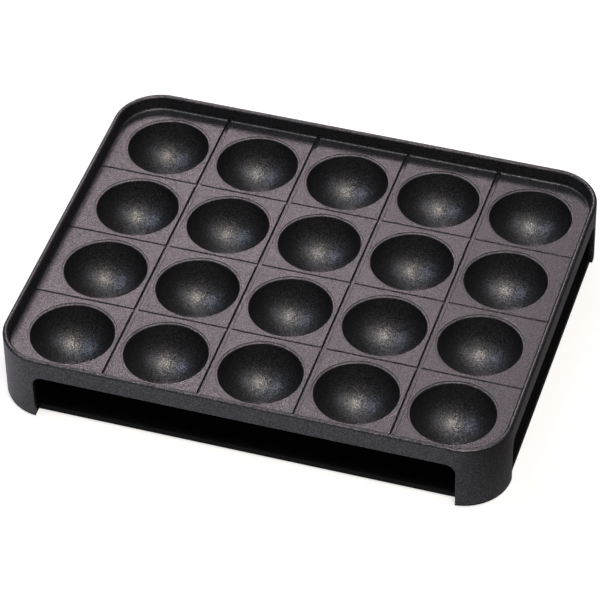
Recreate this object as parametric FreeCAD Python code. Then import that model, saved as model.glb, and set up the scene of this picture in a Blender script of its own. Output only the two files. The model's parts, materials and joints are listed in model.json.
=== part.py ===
import FreeCAD, Part
import math
import os

# Takoyaki maker: a cast cooking plate with four corner legs, standing over a low heated base.
# Sizes are millimetres. X runs along the plate, Y towards the back and Z up from the table.
# The origin is on the table under the middle of the plate.

Vector = FreeCAD.Vector
UP = Vector(0, 0, 1)

# Wells
WELL_PITCH = 47.0
WELL_COLUMNS = 5
WELL_ROWS = 4
WELL_RADIUS = 20.0
WELL_LIP = 0.75
BOWL_WALL = 2.5

# Plate, rim and skirt
PLATE_MARGIN = 30.7
SLAB = 2.5
RIM_HEIGHT = 7.75
RIM_WALL = 2.75
RIM_FOOT_RADIUS = 1.2
CREST_RADIUS = 1.3
CORNER_RADIUS = 23.5
SKIRT_DROP = 2.85
LEG_DROP = 27.8
LEG_SPAN_FRONT = 21.3
LEG_SPAN_SIDE = 23.5
OPENING_RADIUS = 5.0

# Grooves between the wells
GROOVE_TOP = 2.4
GROOVE_FLOOR = 1.8
GROOVE_DEPTH = 1.0

# Base pan
FOOT_DROP = 1.0
PAN_SHEET = 0.8
PAN_INSET_FRONT = 5.5
PAN_INSET_SIDE = 1.5
PAN_LIP = 2.2
EAR_INSET = 0.3
LOCATOR_HEIGHT = 4.0
LOCATOR_GAP = 0.4
LOCATOR_SWEEP = 60.0
BEAD_WIDTH = 6.0
BEAD_SLOPE = 1.0
BEAD_HEIGHT = 0.6
BEAD_END = 9.5

# Feet
FOOT_RADIUS = 6.5
FOOT_OFFSET = 9.0
FOOT_STEM = 2.5
FOOT_HEAD = 3.5
FOOT_HEAD_HEIGHT = 1.4

# Reflector
REFLECTOR_SHEET = 0.5
REFLECTOR_INSET_SIDE = 6.2
REFLECTOR_INSET_FRONT = 23.2
REFLECTOR_WALL = 3.0
REFLECTOR_CORNER = 6.0
RIDGE_HEIGHT = 2.6
RIDGE_WIDTH = 9.0
RIDGE_END_GAP = 8.0
WIRING_NOTCH = 18.0

# Heater
TUBE_RADIUS = 3.3
HEATER_DROP = 16.5
HEATER_BEND = 12.0
TAIL_END = 23.2
BUSH_RADIUS = 4.5
BUSH_LENGTH = 7.0
PIN_RADIUS = 1.4
PIN_LENGTH = 5.0

# Heater clips
CLIP_SHEET = 0.8
CLIP_WIDTH = 8.0
CLIP_FOOT = 9.0
CLIP_GAP = 0.1
CLIP_MOUTH = 4.4

# Rivets and screws
RIVET_RADIUS = 1.2
RIVET_HEAD = 2.3
RIVET_HEAD_HEIGHT = 0.8
SCREW_RADIUS = 1.5
SCREW_HEAD = 2.8
SCREW_HEAD_HEIGHT = 1.6

# Thermostat and its sensor button
CASE_RADIUS = 8.5
CASE_HEIGHT = 8.5
CASE_BORE_DEPTH = 6.8
BRACKET_WIDTH = 12.0
BRACKET_RISE = 2.6
BRACKET_DECK = 26.0
BRACKET_FOOT = 7.0
TAB_WIDTH = 4.0
TAB_LENGTH = 5.0
TAB_OFFSET = 5.0
TAB_HEIGHT = 2.7
BUTTON_RADIUS = 7.0
BUTTON_THICKNESS = 1.6
BUTTON_GAP = 0.3
BUTTON_TRAVEL = 1.5
STEM_RADIUS = 2.0
STEM_CLEARANCE = 0.08
SPRING_WIRE = 0.7
SPRING_RADIUS = 4.2
SPRING_TURNS = 5

# Thermal fuse
FUSE_RADIUS = 2.5
FUSE_LENGTH = 14.0
FUSE_SEAT = 0.1
FUSE_Y = 33.0
STRAP_SHEET = 0.5
STRAP_WIDTH = 5.0
STRAP_EAR = 6.0

# Inlet
INLET_WIDTH = 40.0
INLET_HEIGHT = 15.2
INLET_DEPTH = 10.0
INLET_RECESS_DEPTH = 5.0
INLET_RIM = 3.0
INLET_SETBACK = 0.7
INLET_CORNER = 2.0
INLET_EAR = 8.0
INLET_EAR_HEIGHT = 3.0
CONTACT_RADIUS = 1.5
CONTACT_SPACING = 16.0
CONTACT_TIP = 1.3
CONTACT_STUB = 4.0
KEEPER_SHEET = 0.8
KEEPER_MARGIN = 1.0

# Leads
LEAD_RADIUS = 1.1
LEAD_SEAT = 0.1
LEAD_BEND = 3.5

# Heights
PAN_TOP = FOOT_DROP + PAN_SHEET
REFLECTOR_FLOOR = PAN_TOP + BEAD_HEIGHT
REFLECTOR_TOP = REFLECTOR_FLOOR + REFLECTOR_SHEET
SURFACE = PAN_TOP + LEG_DROP
CREST = SURFACE + RIM_HEIGHT
UNDERSIDE = SURFACE - SLAB
SKIRT_BOTTOM = SURFACE - SKIRT_DROP
BOWL_CENTRE = SURFACE - WELL_LIP
HEATER_Z = SURFACE - HEATER_DROP
LEAD_Z = REFLECTOR_TOP + LEAD_SEAT + LEAD_RADIUS

# Plan positions
OUTER_COLUMN = (WELL_COLUMNS - 1) / 2 * WELL_PITCH
OUTER_ROW = (WELL_ROWS - 1) / 2 * WELL_PITCH
PLATE_X = OUTER_COLUMN + PLATE_MARGIN
PLATE_Y = OUTER_ROW + PLATE_MARGIN
INNER_X = PLATE_X - RIM_WALL
INNER_Y = PLATE_Y - RIM_WALL
ARC_X = PLATE_X - CORNER_RADIUS
ARC_Y = PLATE_Y - CORNER_RADIUS
PAN_X = PLATE_X - PAN_INSET_SIDE
PAN_Y = PLATE_Y - PAN_INSET_FRONT
BOWL_RADIUS = WELL_RADIUS + BOWL_WALL
CHANNEL_Y = OUTER_ROW - WELL_PITCH / 2
TAIL_X = WELL_PITCH * (1 - WELL_COLUMNS % 2 / 2)
SENSOR_X = TAIL_X
SENSOR_Y = WELL_PITCH * (WELL_ROWS % 2) / 2
TAIL_Y = PLATE_Y - TAIL_END
CONTACT_X = CONTACT_SPACING / 2


def bowl_radius_at(z):
    """Radius of a bowl's outside at a height."""
    return math.sqrt(BOWL_RADIUS**2 - (BOWL_CENTRE - z) ** 2)


SIDE_RUN_X = (OUTER_COLUMN + bowl_radius_at(HEATER_Z) + INNER_X) / 2


def box(x_low, x_high, y_low, y_high, z_low, z_high):
    """A block between two corners."""
    return Part.makeBox(x_high - x_low, y_high - y_low, z_high - z_low, Vector(x_low, y_low, z_low))


def edges_along(shape, direction):
    """Straight edges of a shape that run along a direction."""
    found = []
    for edge in shape.Edges:
        run = edge.Vertexes[-1].Point - edge.Vertexes[0].Point
        if run.Length > 0 and run.cross(direction).Length < 1e-6 * run.Length:
            found.append(edge)
    return found


def rounded_block(half_x, half_y, radius, z_low, z_high):
    """A block centred on the origin with its upright edges rounded."""
    block = box(-half_x, half_x, -half_y, half_y, z_low, z_high)
    return block.makeFillet(radius, edges_along(block, UP))


def level_edges(shape, z, within_x):
    """Edges that lie flat at a height, no further out than within_x."""
    found = []
    for edge in shape.Edges:
        limits = edge.BoundBox
        flat = abs(limits.ZMin - z) < 1e-5 and abs(limits.ZMax - z) < 1e-5
        if flat and max(abs(limits.XMin), abs(limits.XMax)) < within_x:
            found.append(edge)
    return found


def cylinder(x, y, z_low, z_high, radius):
    """An upright cylinder."""
    return Part.makeCylinder(radius, z_high - z_low, Vector(x, y, z_low), UP)


def polygon_face(points):
    """A flat face inside a closed run of points."""
    return Part.Face(Part.makePolygon(points + [points[0]]))


def grid(count, spacing):
    """Centred positions in a row."""
    return [(index - (count - 1) / 2) * spacing for index in range(count)]


def well_centres():
    """Plan position of every well."""
    rows = grid(WELL_ROWS, WELL_PITCH)
    return [(x, y) for y in rows for x in grid(WELL_COLUMNS, WELL_PITCH)]


def well_tool():
    """The space of one well with the break of its edge, on the Z axis."""
    bottom = Vector(0, 0, BOWL_CENTRE - WELL_RADIUS)
    low = WELL_RADIUS * math.sqrt(0.5)
    middle = Vector(low, 0, BOWL_CENTRE - low)
    side = Vector(WELL_RADIUS, 0, BOWL_CENTRE)
    lip_top = Vector(WELL_RADIUS + WELL_LIP, 0, SURFACE)
    rise = Vector(0, 0, RIM_FOOT_RADIUS)
    top = Vector(0, 0, SURFACE) + rise
    outline = Part.Wire([
        Part.Arc(bottom, middle, side).toShape(),
        Part.makeLine(side, lip_top),
        Part.makeLine(lip_top, lip_top + rise),
        Part.makeLine(lip_top + rise, top),
        Part.makeLine(top, bottom),
    ])
    return Part.Face(outline).revolve(Vector(0, 0, 0), UP, 360)


def bowl_body():
    """The outside of one bowl, up into the slab, on the Z axis."""
    top = UNDERSIDE + SLAB / 2
    bottom = Vector(0, 0, BOWL_CENTRE - BOWL_RADIUS)
    low = BOWL_RADIUS * math.sqrt(0.5)
    middle = Vector(low, 0, BOWL_CENTRE - low)
    side = Vector(bowl_radius_at(top), 0, top)
    outline = Part.Wire([
        Part.Arc(bottom, middle, side).toShape(),
        Part.makeLine(side, Vector(0, 0, top)),
        Part.makeLine(Vector(0, 0, top), bottom),
    ])
    return Part.Face(outline).revolve(Vector(0, 0, 0), UP, 360)


def groove_tool(half_length):
    """One dividing groove along Y, open above its floor."""
    half_top = GROOVE_TOP / 2
    half_floor = GROOVE_FLOOR / 2
    floor = SURFACE - GROOVE_DEPTH
    above = SURFACE + RIM_FOOT_RADIUS
    section = [
        Vector(-half_floor, -half_length, floor),
        Vector(half_floor, -half_length, floor),
        Vector(half_top, -half_length, SURFACE),
        Vector(half_top, -half_length, above),
        Vector(-half_top, -half_length, above),
        Vector(-half_top, -half_length, SURFACE),
    ]
    return polygon_face(section).extrude(Vector(0, 2 * half_length, 0))


def opening_tool(half_width, half_depth, z_low, z_high):
    """An opening through the skirt along Y with rounded upper corners."""
    block = box(-half_width, half_width, -half_depth, half_depth, z_low, z_high)
    upper = [e for e in edges_along(block, Vector(0, 1, 0)) if e.BoundBox.ZMin > z_high - 1e-5]
    return block.makeFillet(OPENING_RADIUS, upper)


def plate_shell():
    """Slab, rim, skirt and legs without the wells."""
    shell = rounded_block(PLATE_X, PLATE_Y, CORNER_RADIUS, PAN_TOP, CREST)
    inner_radius = CORNER_RADIUS - RIM_WALL
    shell = shell.cut(rounded_block(INNER_X, INNER_Y, inner_radius, SURFACE, CREST))
    shell = shell.makeFillet(CREST_RADIUS, level_edges(shell, CREST, 2 * PLATE_X))
    foot = level_edges(shell, SURFACE, INNER_X + RIM_WALL / 2)
    shell = shell.makeFillet(RIM_FOOT_RADIUS, foot)
    shell = shell.cut(rounded_block(INNER_X, INNER_Y, inner_radius, PAN_TOP, UNDERSIDE))
    front = opening_tool(PLATE_X - LEG_SPAN_FRONT, 2 * PLATE_Y, FOOT_DROP, SKIRT_BOTTOM)
    side = opening_tool(PLATE_Y - LEG_SPAN_SIDE, 2 * PLATE_X, FOOT_DROP, SKIRT_BOTTOM)
    side.rotate(Vector(0, 0, 0), UP, 90)
    return shell.cut([front, side])


def cooking_plate():
    """The whole casting."""
    bowls = []
    wells = []
    for x, y in well_centres():
        bowls.append(bowl_body().translated(Vector(x, y, 0)))
        wells.append(well_tool().translated(Vector(x, y, 0)))
    grooves = []
    for x in grid(WELL_COLUMNS - 1, WELL_PITCH):
        grooves.append(groove_tool(INNER_Y).translated(Vector(x, 0, 0)))
    for y in grid(WELL_ROWS - 1, WELL_PITCH):
        groove = groove_tool(INNER_X)
        groove.rotate(Vector(0, 0, 0), UP, 90)
        grooves.append(groove.translated(Vector(0, y, 0)))
    return plate_shell().fuse(bowls).cut(wells).cut(grooves).removeSplitter()


def corners():
    """Name and side signs of the four corners."""
    return [("front_left", -1, -1), ("front_right", 1, -1), ("rear_left", -1, 1), ("rear_right", 1, 1)]


def locating_flange(sign_x, sign_y):
    """Curved tongue that stands up inside one leg."""
    outer = CORNER_RADIUS - RIM_WALL - LOCATOR_GAP
    flange = Part.makeCylinder(outer, LOCATOR_HEIGHT, Vector(0, 0, PAN_TOP), UP, LOCATOR_SWEEP)
    bore = Part.makeCylinder(outer - PAN_SHEET, LOCATOR_HEIGHT, Vector(0, 0, PAN_TOP), UP)
    flange = flange.cut(bore)
    middle = math.degrees(math.atan2(sign_y, sign_x))
    flange.rotate(Vector(0, 0, 0), UP, middle - LOCATOR_SWEEP / 2)
    return flange.translated(Vector(sign_x * ARC_X, sign_y * ARC_Y, 0))


def pan_sheet():
    """Flat of the pan: the plate's footprint, drawn in between the legs."""
    half_x = PLATE_X - EAR_INSET
    half_y = PLATE_Y - EAR_INSET
    sheet = rounded_block(half_x, half_y, CORNER_RADIUS - EAR_INSET, FOOT_DROP, PAN_TOP)
    gap_x = PLATE_X - LEG_SPAN_FRONT
    gap_y = PLATE_Y - LEG_SPAN_SIDE
    notches = []
    for sign in (-1, 1):
        inner, outer = sorted([sign * PAN_Y, sign * PLATE_Y])
        notches.append(box(-gap_x, gap_x, inner, outer, 0, PAN_TOP))
        inner, outer = sorted([sign * PAN_X, sign * PLATE_X])
        notches.append(box(inner, outer, -gap_y, gap_y, 0, PAN_TOP))
    return sheet.cut(notches)


def bead_tool(half_length, z, grow):
    """A raised bead along Y; grow widens it by a sheet's thickness."""
    top = BEAD_WIDTH / 2 + grow
    foot = top + BEAD_SLOPE
    section = [
        Vector(-foot, -half_length, z),
        Vector(foot, -half_length, z),
        Vector(top, -half_length, z + BEAD_HEIGHT),
        Vector(-top, -half_length, z + BEAD_HEIGHT),
    ]
    return polygon_face(section).extrude(Vector(0, 2 * half_length, 0))


def foot_places():
    """Name and plan position of each foot."""
    places = []
    for name, sign_x, sign_y in corners():
        places.append((name, sign_x * (ARC_X + FOOT_OFFSET), sign_y * (ARC_Y + FOOT_OFFSET)))
    return places


def base_pan():
    """Pressed pan with lips, beads, ears and holes."""
    pan = pan_sheet()
    lip_top = PAN_TOP + PAN_LIP
    lip_x = PLATE_X - LEG_SPAN_FRONT
    lip_y = PLATE_Y - LEG_SPAN_SIDE
    lips = [box(-lip_x, lip_x, -PAN_Y, -PAN_Y + PAN_SHEET, PAN_TOP, lip_top)]
    notch = INLET_WIDTH / 2 + INLET_EAR + PAN_SHEET
    for sign in (-1, 1):
        inner, outer = sorted([sign * notch, sign * lip_x])
        lips.append(box(inner, outer, PAN_Y - PAN_SHEET, PAN_Y, PAN_TOP, lip_top))
        inner, outer = sorted([sign * (PAN_X - PAN_SHEET), sign * PAN_X])
        lips.append(box(inner, outer, -lip_y, lip_y, PAN_TOP, lip_top))
    flanges = [locating_flange(sign_x, sign_y) for _, sign_x, sign_y in corners()]
    bead_half = PAN_Y - BEAD_END
    beads = []
    hollows = []
    for x in grid(WELL_COLUMNS, WELL_PITCH):
        beads.append(bead_tool(bead_half, PAN_TOP, 0).translated(Vector(x, 0, 0)))
        hollow = bead_tool(bead_half - PAN_SHEET, FOOT_DROP, -PAN_SHEET / 2)
        hollows.append(hollow.translated(Vector(x, 0, 0)))
    pan = pan.fuse(lips + flanges + beads).removeSplitter()
    holes = [cylinder(x, y, 0, CREST, FOOT_STEM) for _, x, y in foot_places()]
    holes += [cylinder(x, y, 0, CREST, SCREW_RADIUS) for x, y in reflector_screw_places()]
    holes += [cylinder(x, y, 0, CREST, SCREW_RADIUS) for x, y in inlet_screw_places()]
    return pan.cut(hollows + holes)


def foot(x, y):
    """Soft foot with a stem that is pressed through the pan."""
    pad = cylinder(x, y, 0, FOOT_DROP, FOOT_RADIUS)
    stem = cylinder(x, y, FOOT_DROP, PAN_TOP, FOOT_STEM)
    head = Part.makeCone(FOOT_HEAD, FOOT_STEM, FOOT_HEAD_HEIGHT, Vector(x, y, PAN_TOP), UP)
    return pad.fuse([stem, head])


def reflector_half():
    """Half sizes of the reflector in plan."""
    return PLATE_X - REFLECTOR_INSET_SIDE, PLATE_Y - REFLECTOR_INSET_FRONT


def reflector_screw_places():
    """Plan positions of the reflector's screws, on the outer beads."""
    x = OUTER_COLUMN
    y = reflector_half()[1] - REFLECTOR_CORNER - SCREW_HEAD
    return [(sign_x * x, sign_y * y) for sign_x in (-1, 1) for sign_y in (-1, 1)]


def ridge(length, z, width, height):
    """A roof-shaped ridge along X, centred on the origin."""
    section = [
        Vector(-length / 2, -width / 2, z),
        Vector(-length / 2, width / 2, z),
        Vector(-length / 2, 0, z + height),
    ]
    return polygon_face(section).extrude(Vector(length, 0, 0))


def ridge_places():
    """Middle, length and heading of every ridge under the heater."""
    clips = sorted(x for x, y, _, kind in clip_places() if kind == "front")
    edge = SIDE_RUN_X - HEATER_BEND
    stops = [-edge] + clips + [edge]
    places = []
    for start, end in zip(stops, stops[1:]):
        length = end - start - 2 * RIDGE_END_GAP
        places.append(((start + end) / 2, -CHANNEL_Y, length, 0))
    rear = max(x for x, y, _, kind in clip_places() if kind == "rear")
    for sign in (-1, 1):
        length = edge - rear - 2 * RIDGE_END_GAP
        places.append((sign * (rear + edge) / 2, CHANNEL_Y, length, 0))
    return places


def reflector():
    """Pressed tray with a low wall and ridges."""
    half_x, half_y = reflector_half()
    top = REFLECTOR_FLOOR + REFLECTOR_WALL
    tray = rounded_block(half_x, half_y, REFLECTOR_CORNER, REFLECTOR_FLOOR, top)
    inner_x = half_x - REFLECTOR_SHEET
    inner_y = half_y - REFLECTOR_SHEET
    inner_radius = REFLECTOR_CORNER - REFLECTOR_SHEET
    tray = tray.cut(rounded_block(inner_x, inner_y, inner_radius, REFLECTOR_TOP, top))
    roofs = []
    hollows = []
    for x, y, length, heading in ridge_places():
        roof = ridge(length, REFLECTOR_TOP, RIDGE_WIDTH, RIDGE_HEIGHT)
        hollow = ridge(length - 2 * REFLECTOR_SHEET, REFLECTOR_FLOOR, RIDGE_WIDTH, RIDGE_HEIGHT)
        for shape, group in ((roof, roofs), (hollow, hollows)):
            shape.rotate(Vector(0, 0, 0), UP, heading)
            group.append(shape.translated(Vector(x, y, 0)))
    notch = TAIL_X + WIRING_NOTCH
    tray = tray.cut(box(-notch, notch, inner_y, half_y, REFLECTOR_TOP, top)).fuse(roofs)
    holes = [cylinder(x, y, 0, CREST, SCREW_RADIUS) for x, y in reflector_screw_places()]
    holes += [cylinder(x, y, 0, CREST, RIVET_RADIUS) for x, y in clip_rivet_places()]
    holes += [cylinder(x, y, 0, CREST, RIVET_RADIUS) for x, y in bracket_rivet_places()]
    holes += [cylinder(x, y, 0, CREST, RIVET_RADIUS) for x, y in strap_rivet_places()]
    return tray.cut(hollows + holes)


def rounded_route(points, radius):
    """A wire through points, with straight runs joined by tangent arcs."""
    edges = []
    start = points[0]
    for before, corner, after in zip(points, points[1:], points[2:]):
        incoming = (before - corner).normalize()
        outgoing = (after - corner).normalize()
        half_turn = (math.pi - incoming.getAngle(outgoing)) / 2
        trim = radius * math.tan(half_turn)
        enter = corner + incoming * trim
        leave = corner + outgoing * trim
        bisector = (incoming + outgoing).normalize()
        middle = corner + bisector * (radius / math.cos(half_turn) - radius)
        edges.append(Part.makeLine(start, enter))
        edges.append(Part.Arc(enter, middle, leave).toShape())
        start = leave
    edges.append(Part.makeLine(start, points[-1]))
    return Part.Wire(edges)


def tube(route, radius):
    """A round rod along a route."""
    first = route.Edges[0]
    start = first.valueAt(first.FirstParameter)
    heading = first.tangentAt(first.FirstParameter)
    section = Part.Wire(Part.makeCircle(radius, start, heading))
    return route.makePipeShell([section], True, False)


def heater_route():
    """Centre line of the heater from one tail to the other."""
    plan = [
        (-TAIL_X, TAIL_Y),
        (-TAIL_X, CHANNEL_Y),
        (-SIDE_RUN_X, CHANNEL_Y),
        (-SIDE_RUN_X, -CHANNEL_Y),
        (SIDE_RUN_X, -CHANNEL_Y),
        (SIDE_RUN_X, CHANNEL_Y),
        (TAIL_X, CHANNEL_Y),
        (TAIL_X, TAIL_Y),
    ]
    return rounded_route([Vector(x, y, HEATER_Z) for x, y in plan], HEATER_BEND)


def heater_bush(sign):
    """Ceramic bush on one end of the heater."""
    start = Vector(sign * TAIL_X, TAIL_Y, HEATER_Z)
    body = Part.makeCylinder(BUSH_RADIUS, BUSH_LENGTH, start, Vector(0, 1, 0))
    bore = Part.makeCylinder(PIN_RADIUS, BUSH_LENGTH, start, Vector(0, 1, 0))
    rims = level_ring_edges(body)
    body = body.makeChamfer(BUSH_RADIUS / 6, rims)
    return body.cut(bore)


def level_ring_edges(body):
    """Round edges of a turned body."""
    return [edge for edge in body.Edges if isinstance(edge.Curve, Part.Circle)]


def heater_pin(sign):
    """Cold pin that runs through the bush."""
    start = Vector(sign * TAIL_X, TAIL_Y, HEATER_Z)
    return Part.makeCylinder(PIN_RADIUS, BUSH_LENGTH + PIN_LENGTH, start, Vector(0, 1, 0))


def clip_places():
    """Plan position, heading and kind of each heater clip; the tube runs along the heading."""
    places = []
    for sign in (-1, 1):
        side = "left" if sign < 0 else "right"
        places.append((sign * TAIL_X, -CHANNEL_Y, 0, "front"))
        places.append((sign * SIDE_RUN_X, 0, 90 * sign, "side"))
        places.append((sign * (TAIL_X + WELL_PITCH), CHANNEL_Y, 180, "rear"))
        places.append((sign * TAIL_X, CHANNEL_Y + HEATER_BEND + CLIP_WIDTH / 2, -90 * sign, "tail"))
    return places


def clip_names():
    """Name of each heater clip, in the order of their places."""
    names = []
    for x, _, _, kind in clip_places():
        names.append("heater_clip_" + kind + ("_left" if x < 0 else "_right"))
    return names


def heater_clip(x, y, heading):
    """Bent strap: a foot on the reflector, an upright and a spring ring round the tube."""
    bore = TUBE_RADIUS + CLIP_GAP
    outer = bore + CLIP_SHEET
    half = CLIP_WIDTH / 2
    along = Vector(1, 0, 0)
    start = Vector(-half, 0, HEATER_Z)
    ring = Part.makeCylinder(outer, CLIP_WIDTH, start, along)
    upright = box(-half, half, -CLIP_SHEET / 2, CLIP_SHEET / 2, REFLECTOR_TOP, HEATER_Z - bore)
    base = box(-half, half, -CLIP_SHEET / 2, CLIP_FOOT, REFLECTOR_TOP, REFLECTOR_TOP + CLIP_SHEET)
    mouth = box(-half, half, -CLIP_MOUTH / 2, CLIP_MOUTH / 2, HEATER_Z, HEATER_Z + outer)
    hole = cylinder(0, CLIP_FOOT - RIVET_HEAD - CLIP_SHEET, 0, HEATER_Z - outer, RIVET_RADIUS)
    clip = ring.fuse([upright, base])
    clip = clip.cut([Part.makeCylinder(bore, CLIP_WIDTH, start, along), mouth, hole])
    clip.rotate(Vector(0, 0, 0), UP, heading)
    return clip.translated(Vector(x, y, 0)).removeSplitter()


def clip_rivet_places():
    """Plan position of each clip's rivet."""
    places = []
    reach = CLIP_FOOT - RIVET_HEAD - CLIP_SHEET
    for x, y, heading, _ in clip_places():
        turn = math.radians(heading)
        places.append((x - reach * math.sin(turn), y + reach * math.cos(turn)))
    return places


def rivet(x, y, seat):
    """A rivet through the reflector and a sheet whose top is at seat."""
    shank = cylinder(x, y, REFLECTOR_FLOOR, seat, RIVET_RADIUS)
    head = Part.makeCone(RIVET_HEAD, RIVET_RADIUS, RIVET_HEAD_HEIGHT, Vector(x, y, seat), UP)
    tail = cylinder(x, y, REFLECTOR_FLOOR - BEAD_HEIGHT / 2, REFLECTOR_FLOOR, RIVET_HEAD)
    return shank.fuse([head, tail])


def screw(x, y, tip, seat):
    """A pan-head screw from its tip to its seat."""
    shank = cylinder(x, y, tip, seat, SCREW_RADIUS)
    top = seat + SCREW_HEAD_HEIGHT
    head = Part.makeCone(SCREW_HEAD, SCREW_RADIUS, SCREW_HEAD_HEIGHT, Vector(x, y, seat), UP)
    slot = box(x - SCREW_HEAD, x + SCREW_HEAD, y - SCREW_RADIUS / 4, y + SCREW_RADIUS / 4,
               top - SCREW_HEAD_HEIGHT / 2, top)
    return shank.fuse(head).cut(slot)


def bracket_rivet_places():
    """Plan positions of the thermostat bracket's rivets."""
    reach = BRACKET_DECK / 2 + BRACKET_FOOT / 2
    return [(SENSOR_X - reach, SENSOR_Y), (SENSOR_X + reach, SENSOR_Y)]


def thermostat_bracket():
    """Bridge that holds the thermostat over the reflector."""
    half = BRACKET_WIDTH / 2
    deck_half = BRACKET_DECK / 2
    foot_end = deck_half + BRACKET_FOOT
    low = REFLECTOR_TOP
    deck_top = low + BRACKET_RISE + CLIP_SHEET
    deck = box(-deck_half, deck_half, -half, half, low + BRACKET_RISE, deck_top)
    parts = []
    for sign in (-1, 1):
        inner, outer = sorted([sign * deck_half, sign * foot_end])
        parts.append(box(inner, outer, -half, half, low, low + CLIP_SHEET))
        inner, outer = sorted([sign * deck_half, sign * (deck_half - CLIP_SHEET)])
        parts.append(box(inner, outer, -half, half, low, low + BRACKET_RISE))
    bracket = deck.fuse(parts).removeSplitter().translated(Vector(SENSOR_X, SENSOR_Y, 0))
    holes = [cylinder(x, y, 0, CREST, RIVET_RADIUS) for x, y in bracket_rivet_places()]
    return bracket.cut(holes)


CASE_LOW = REFLECTOR_TOP + BRACKET_RISE + CLIP_SHEET
CASE_TOP = CASE_LOW + CASE_HEIGHT
BUTTON_TOP = UNDERSIDE - BUTTON_GAP
TAB_Z = CASE_LOW + TAB_HEIGHT
TAB_Y = SENSOR_Y + CASE_RADIUS + TAB_LENGTH


def thermostat_case():
    """Moulded case with a bore for the stem and slots for the tabs."""
    case = cylinder(SENSOR_X, SENSOR_Y, CASE_LOW, CASE_TOP, CASE_RADIUS)
    case = case.makeChamfer(CLIP_SHEET, level_edges(case, CASE_TOP, 2 * PLATE_X))
    bore = cylinder(SENSOR_X, SENSOR_Y, CASE_TOP - CASE_BORE_DEPTH, CASE_TOP, STEM_RADIUS + STEM_CLEARANCE)
    return case.cut([bore] + thermostat_tabs().Solids)


def thermostat_tabs():
    """Two flat tabs that leave the case towards the back."""
    tabs = []
    for sign in (-1, 1):
        x = SENSOR_X + sign * TAB_OFFSET
        low = TAB_Z - CLIP_SHEET / 2
        tabs.append(box(x - TAB_WIDTH / 2, x + TAB_WIDTH / 2, TAB_Y - 2 * TAB_LENGTH, TAB_Y,
                        low, low + CLIP_SHEET))
    return Part.makeCompound(tabs)


def sensor_button():
    """Button that feels the plate, with its guide stem."""
    low = BUTTON_TOP - BUTTON_THICKNESS
    disc = cylinder(SENSOR_X, SENSOR_Y, low, BUTTON_TOP, BUTTON_RADIUS)
    disc = disc.makeChamfer(BUTTON_THICKNESS / 3, level_edges(disc, BUTTON_TOP, 2 * PLATE_X))
    depth = CASE_BORE_DEPTH - 2 * BUTTON_TRAVEL
    stem = cylinder(SENSOR_X, SENSOR_Y, CASE_TOP - depth, low, STEM_RADIUS)
    return disc.fuse(stem)


def sensor_spring():
    """Compression spring between the case and the button."""
    low = CASE_TOP + SPRING_WIRE / 2
    high = BUTTON_TOP - BUTTON_THICKNESS - SPRING_WIRE / 2
    helix = Part.makeHelix((high - low) / SPRING_TURNS, high - low, SPRING_RADIUS)
    half = SPRING_WIRE / 2
    square = [Vector(SPRING_RADIUS + x * half, 0, z * half) for x, z in ((-1, -1), (1, -1), (1, 1), (-1, 1))]
    section = Part.makePolygon(square + [square[0]])
    coil = Part.Wire(helix.Edges).makePipeShell([section], True, True)
    return coil.translated(Vector(SENSOR_X, SENSOR_Y, low))


FUSE_X = SENSOR_X - TAB_OFFSET
FUSE_Z = REFLECTOR_TOP + FUSE_SEAT + FUSE_RADIUS


def thermal_fuse():
    """One-shot cut-out in its sleeve, along Y."""
    start = Vector(FUSE_X, FUSE_Y - FUSE_LENGTH / 2, FUSE_Z)
    body = Part.makeCylinder(FUSE_RADIUS, FUSE_LENGTH, start, Vector(0, 1, 0))
    return body.makeChamfer(FUSE_RADIUS / 4, level_ring_edges(body))


def strap_rivet_places():
    """Plan position of the fuse strap's rivet."""
    return [(FUSE_X + FUSE_RADIUS + STRAP_SHEET + STRAP_EAR / 2, FUSE_Y)]


def fuse_strap():
    """Strap over the fuse with one riveted ear."""
    bore = FUSE_RADIUS + CLIP_GAP
    outer = bore + STRAP_SHEET
    low = FUSE_Y - STRAP_WIDTH / 2
    high = FUSE_Y + STRAP_WIDTH / 2
    start = Vector(FUSE_X, low, FUSE_Z)
    arch = Part.makeCylinder(outer, STRAP_WIDTH, start, Vector(0, 1, 0))
    legs = box(FUSE_X - outer, FUSE_X + outer, low, high, REFLECTOR_TOP, FUSE_Z)
    ear = box(FUSE_X + bore, FUSE_X + outer + STRAP_EAR, low, high,
              REFLECTOR_TOP, REFLECTOR_TOP + STRAP_SHEET)
    core = Part.makeCylinder(bore, STRAP_WIDTH, start, Vector(0, 1, 0))
    space = box(FUSE_X - bore, FUSE_X + bore, low, high, REFLECTOR_TOP, FUSE_Z)
    strap = arch.fuse([legs, ear]).cut([core, space])
    below = box(FUSE_X - outer, FUSE_X + outer, low, high, 0, REFLECTOR_TOP)
    holes = [cylinder(x, y, 0, CREST, RIVET_RADIUS) for x, y in strap_rivet_places()]
    return strap.cut([below] + holes).removeSplitter()


INLET_FACE = PLATE_Y - INLET_SETBACK
INLET_FRONT = INLET_FACE - INLET_DEPTH
INLET_TOP = PAN_TOP + INLET_HEIGHT
INLET_Z = PAN_TOP + INLET_HEIGHT / 2
STUB_Y = INLET_FRONT - CONTACT_STUB


def inlet_screw_places():
    """Plan positions of the inlet's two screws."""
    x = INLET_WIDTH / 2 + INLET_EAR / 2
    y = PAN_Y - INLET_EAR / 2
    return [(-x, y), (x, y)]


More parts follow.
